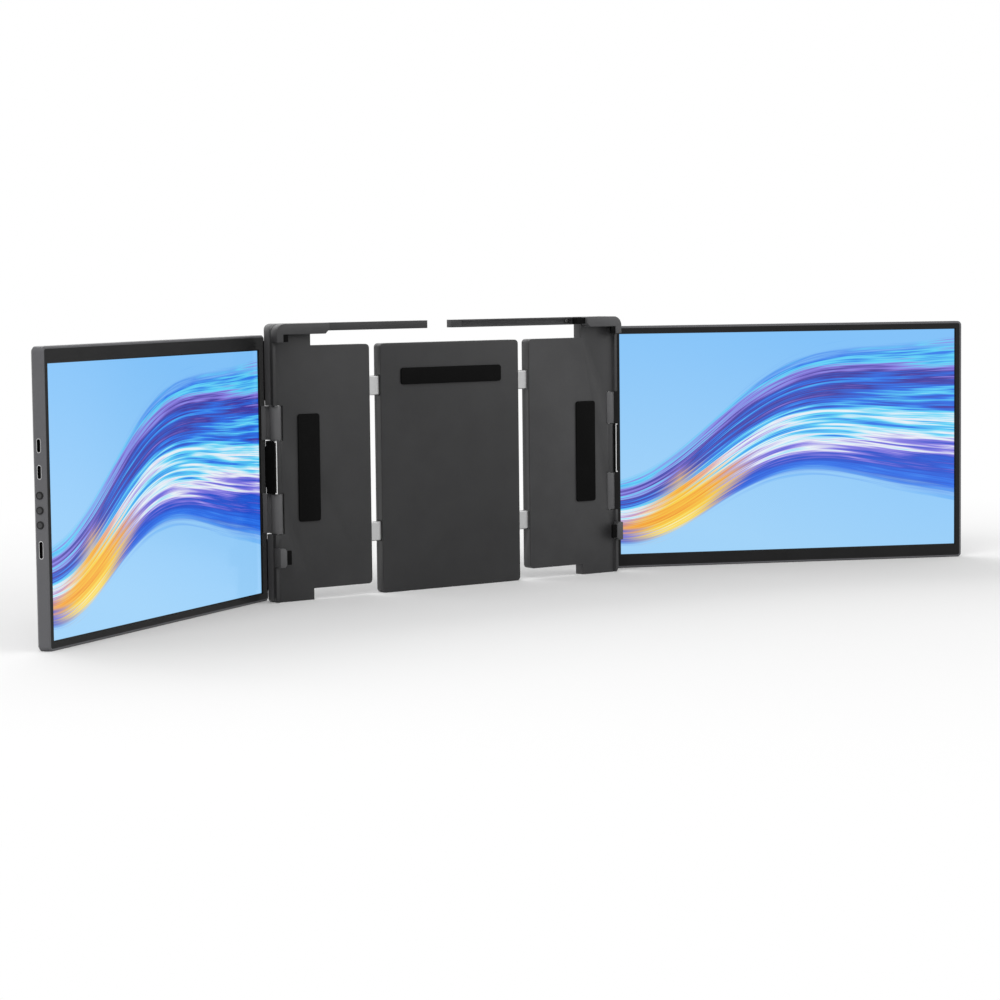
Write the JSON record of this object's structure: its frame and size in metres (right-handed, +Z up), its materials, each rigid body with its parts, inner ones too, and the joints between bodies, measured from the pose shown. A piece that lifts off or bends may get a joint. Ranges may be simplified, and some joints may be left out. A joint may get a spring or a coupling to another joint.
{
  "type": "laptop screen extender",
  "caption": "Back frame that slides to a notebook lid's width and grips it, with a hinged monitor on each side that folds flat in front.",
  "frame": {"origin": "middle of the centre unit's bottom face, in the plane the unit stands on", "axes": "+Z up, +X to the user's right, user at -Y"},
  "size_m": [0.8336, 0.157, 0.1957],
  "materials": {
    "frame": "fine matt",
    "shell": "fine matt",
    "rail": "brushed",
    "pad": "soft matt",
    "stop": "soft matt",
    "hook": "fine matt",
    "pin": "ground",
    "screw": "blackened",
    "monitor_cover": "anodised grey",
    "bezel": "satin",
    "display": "lit screen",
    "board": "solder mask",
    "flex": "film",
    "arm": "dark",
    "socket": "bright",
    "button": "gloss",
    "stand": "anodised grey"
  },
  "bodies": {
    "centre": {"centre_housing": "frame", "centre_pad": "pad", "centre_cover": "shell", "centre_screws": "screw", "kickstand_pin": "pin"},
    "kickstand": {"kickstand": "stand", "kickstand_foot": "pad"},
    "left_half": {"left_frame": "frame", "left_back_shell": "shell", "left_slide_rails": "rail", "left_lid_pad": "pad", "left_corner_hook": "hook", "left_hook_pad": "pad", "left_side_claw": "hook", "left_claw_pad": "pad", "left_hinge_pin": "pin", "left_hinge_insert": "stop", "left_frame_screws": "screw"},
    "left_monitor": {"left_rear_cover": "monitor_cover", "left_bezel": "bezel", "left_display_panel": "display", "left_driver_board": "board", "left_panel_flex": "flex", "left_hinge_arm": "arm", "left_cover_screws": "screw", "left_usb_socket_a": "socket", "left_usb_socket_b": "socket", "left_hdmi_socket": "socket"},
    "left_power_button": {"left_power_button": "button"},
    "left_plus_button": {"left_plus_button": "button"},
    "left_minus_button": {"left_minus_button": "button"},
    "right_half": {"right_frame": "frame", "right_back_shell": "shell", "right_slide_rails": "rail", "right_lid_pad": "pad", "right_corner_hook": "hook", "right_hook_pad": "pad", "right_side_claw": "hook", "right_claw_pad": "pad", "right_hinge_pin": "pin", "right_hinge_insert": "stop", "right_frame_screws": "screw", "right_arm_stop": "stop"},
    "right_monitor": {"right_rear_cover": "monitor_cover", "right_bezel": "bezel", "right_display_panel": "display", "right_driver_board": "board", "right_panel_flex": "flex", "right_hinge_arm": "arm", "right_cover_screws": "screw", "right_usb_socket_a": "socket", "right_usb_socket_b": "socket", "right_hdmi_socket": "socket"},
    "right_power_button": {"right_power_button": "button"},
    "right_plus_button": {"right_plus_button": "button"},
    "right_minus_button": {"right_minus_button": "button"}
  },
  "joints": [
    {"name": "left_slide", "type": "slide", "parent": "centre", "child": "left_half", "axis": [-1, 0, 0], "range_m": [-0.008, 0.035]},
    {"name": "left_hinge", "type": "hinge", "parent": "left_half", "child": "left_monitor", "pos_m": [-0.1504, -0.0017, 0], "axis": [0, 0, 1], "range_deg": [-40, 150]},
    {"name": "left_power_press", "type": "slide", "parent": "left_monitor", "child": "left_power_button", "axis": [0.866, 0.5, 0], "range_m": [0, 0.0006], "stiffness_N_per_m": 1200, "springref_m": -0.0002},
    {"name": "left_plus_press", "type": "slide", "parent": "left_monitor", "child": "left_plus_button", "axis": [0.866, 0.5, 0], "range_m": [0, 0.0006], "stiffness_N_per_m": 1200, "springref_m": -0.0002},
    {"name": "left_minus_press", "type": "slide", "parent": "left_monitor", "child": "left_minus_button", "axis": [0.866, 0.5, 0], "range_m": [0, 0.0006], "stiffness_N_per_m": 1200, "springref_m": -0.0002},
    {"name": "right_slide", "type": "slide", "parent": "centre", "child": "right_half", "axis": [1, 0, 0], "range_m": [-0.008, 0.035]},
    {"name": "right_hinge", "type": "hinge", "parent": "right_half", "child": "right_monitor", "pos_m": [0.1504, -0.0017, 0], "axis": [0, 0, -1], "range_deg": [-40, 155]},
    {"name": "right_power_press", "type": "slide", "parent": "right_monitor", "child": "right_power_button", "axis": [-0.907, 0.421, 0], "range_m": [0, 0.0006], "stiffness_N_per_m": 1200, "springref_m": -0.0002},
    {"name": "right_plus_press", "type": "slide", "parent": "right_monitor", "child": "right_plus_button", "axis": [-0.907, 0.421, 0], "range_m": [0, 0.0006], "stiffness_N_per_m": 1200, "springref_m": -0.0002},
    {"name": "right_minus_press", "type": "slide", "parent": "right_monitor", "child": "right_minus_button", "axis": [-0.907, 0.421, 0], "range_m": [0, 0.0006], "stiffness_N_per_m": 1200, "springref_m": -0.0002},
    {"name": "kickstand_hinge", "type": "hinge", "parent": "centre", "child": "kickstand", "pos_m": [0, 0.0027, 0.118], "axis": [1, 0, 0], "range_deg": [0, 50]}
  ]
}
